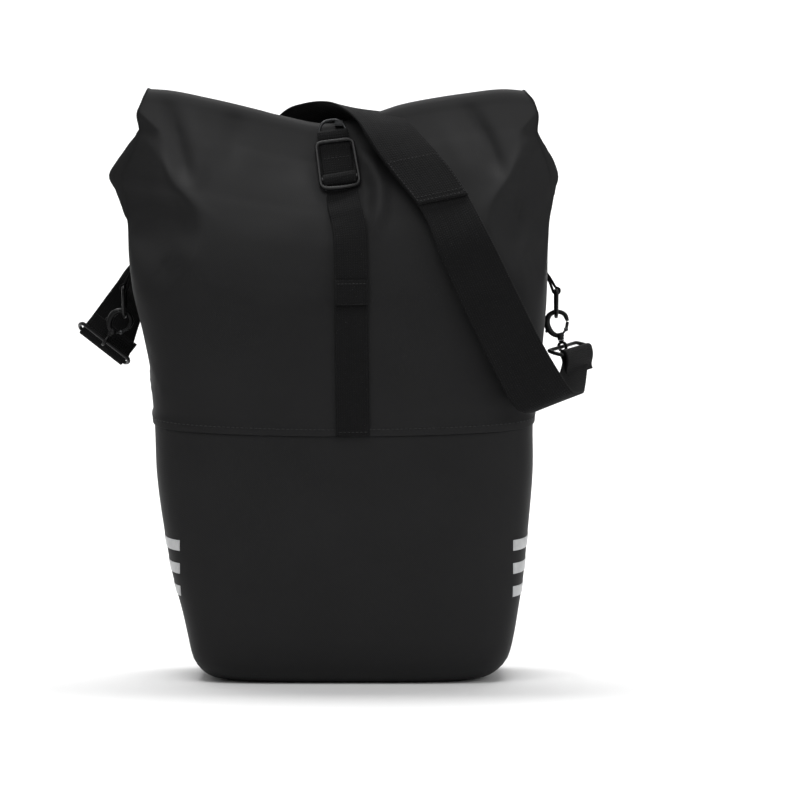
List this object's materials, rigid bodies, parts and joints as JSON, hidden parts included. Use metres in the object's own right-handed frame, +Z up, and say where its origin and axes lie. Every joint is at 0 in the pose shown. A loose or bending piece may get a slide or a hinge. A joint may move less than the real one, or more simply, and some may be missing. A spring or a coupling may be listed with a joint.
{
  "type": "bicycle pannier bag",
  "caption": "Roll-top bicycle pannier bag with a hook-buckle front strap, shoulder strap on side clips, reflective side strips and sliding latched rack hooks.",
  "frame": {"origin": "middle of the flat base", "axes": "+Z up, -Y out of the front panel, +Y towards the rack, +X towards the front of a bicycle that carries the bag on its right side"},
  "size_m": [0.4723, 0.2264, 0.54],
  "materials": {
    "coated_fabric": "matte coated fabric",
    "webbing": "ribbed webbing",
    "black_metal": "satin black",
    "steel": "satin",
    "black_plastic": "matte",
    "rubber": "matte",
    "reflective": "satin reflective film"
  },
  "bodies": {
    "root": {"lower_shell": "coated_fabric", "upper_body": "coated_fabric", "seam_edge": "coated_fabric", "roll_closure": "coated_fabric", "front_strap": "webbing", "strap_tail": "webbing", "strap_tail_hem": "webbing", "catch_strap": "webbing", "left_tab": "webbing", "right_tab": "webbing", "shoulder_strap_back": "webbing", "shoulder_strap_front": "webbing", "carry_handle": "webbing", "catch_hook": "steel", "rail_screw_1": "steel", "rail_screw_2": "steel", "rail_screw_3": "steel", "rail_screw_4": "steel", "roll_stiffener": "black_plastic", "back_board": "black_plastic", "base_board": "black_plastic", "top_rail": "black_plastic", "lower_rail": "black_plastic", "handle_anchor_left": "black_plastic", "handle_anchor_right": "black_plastic", "reflective_strip_left_1": "reflective", "reflective_strip_left_2": "reflective", "reflective_strip_left_3": "reflective", "reflective_strip_right_1": "reflective", "reflective_strip_right_2": "reflective", "reflective_strip_right_3": "reflective"},
    "buckle": {"buckle_frame": "black_metal", "buckle_webbing": "webbing", "buckle_ring": "steel"},
    "left_clip": {"left_d_ring": "black_metal", "left_snap_hook": "black_metal", "left_swivel_eye": "black_metal", "left_wire_ring": "black_metal", "strap_left_end": "webbing"},
    "left_gate": {"left_snap_gate": "steel"},
    "right_clip": {"right_d_ring": "black_metal", "right_snap_hook": "black_metal", "right_swivel_eye": "black_metal", "right_wire_ring": "black_metal", "strap_right_end": "webbing"},
    "right_gate": {"right_snap_gate": "steel"},
    "left_rack_hook": {"rack_hook_left": "black_plastic", "hook_liner_left": "rubber", "latch_pin_left": "steel", "latch_spring_left": "steel"},
    "left_latch": {"hook_latch_left": "black_plastic"},
    "right_rack_hook": {"rack_hook_right": "black_plastic", "hook_liner_right": "rubber", "latch_pin_right": "steel", "latch_spring_right": "steel"},
    "right_latch": {"hook_latch_right": "black_plastic"},
    "lower_slide": {"lower_slider": "black_plastic", "lower_bolt": "steel"},
    "lower_arm": {"lower_hook": "black_plastic"}
  },
  "joints": [
    {"name": "buckle_swing", "type": "hinge", "parent": "root", "child": "buckle", "pos_m": [-0.0065, -0.0465, 0.443], "axis": [1, 0, 0], "range_deg": [0, 40]},
    {"name": "left_clip_swing", "type": "hinge", "parent": "root", "child": "left_clip", "pos_m": [-0.2035, -0.005, 0.358], "axis": [0, 1, 0], "range_deg": [-6, 30], "deforming": ["strap_left_end"]},
    {"name": "left_gate_press", "type": "hinge", "parent": "left_clip", "child": "left_gate", "pos_m": [-0.20668, -0.005, 0.31654], "axis": [0, 1, 0], "range_deg": [-25, 0], "stiffness_Nm_per_rad": 0.02},
    {"name": "right_clip_swing", "type": "hinge", "parent": "root", "child": "right_clip", "pos_m": [0.193, -0.002, 0.355], "axis": [0, 1, 0], "range_deg": [-30, 0], "deforming": ["strap_right_end"]},
    {"name": "right_gate_press", "type": "hinge", "parent": "right_clip", "child": "right_gate", "pos_m": [0.20203, -0.002, 0.31927], "axis": [0, 1, 0], "range_deg": [-25, 0], "stiffness_Nm_per_rad": 0.02},
    {"name": "left_hook_slide", "type": "slide", "parent": "root", "child": "left_rack_hook", "axis": [1, 0, 0], "range_m": [-0.012, 0.012]},
    {"name": "left_latch_open", "type": "hinge", "parent": "left_rack_hook", "child": "left_latch", "pos_m": [-0.035, 0.11, 0.389], "axis": [0, 1, 0], "range_deg": [-50, 0], "stiffness_Nm_per_rad": 0.05},
    {"name": "right_hook_slide", "type": "slide", "parent": "root", "child": "right_rack_hook", "axis": [1, 0, 0], "range_m": [-0.012, 0.012]},
    {"name": "right_latch_open", "type": "hinge", "parent": "right_rack_hook", "child": "right_latch", "pos_m": [0.035, 0.11, 0.389], "axis": [0, 1, 0], "range_deg": [0, 50], "stiffness_Nm_per_rad": 0.05},
    {"name": "lower_hook_slide", "type": "slide", "parent": "root", "child": "lower_slide", "axis": [1, 0, 0], "range_m": [-0.03, 0.03]},
    {"name": "lower_hook_swivel", "type": "hinge", "parent": "lower_slide", "child": "lower_arm", "pos_m": [0, 0.0974, 0.11], "axis": [0, 1, 0], "range_deg": [-90, 90]}
  ]
}
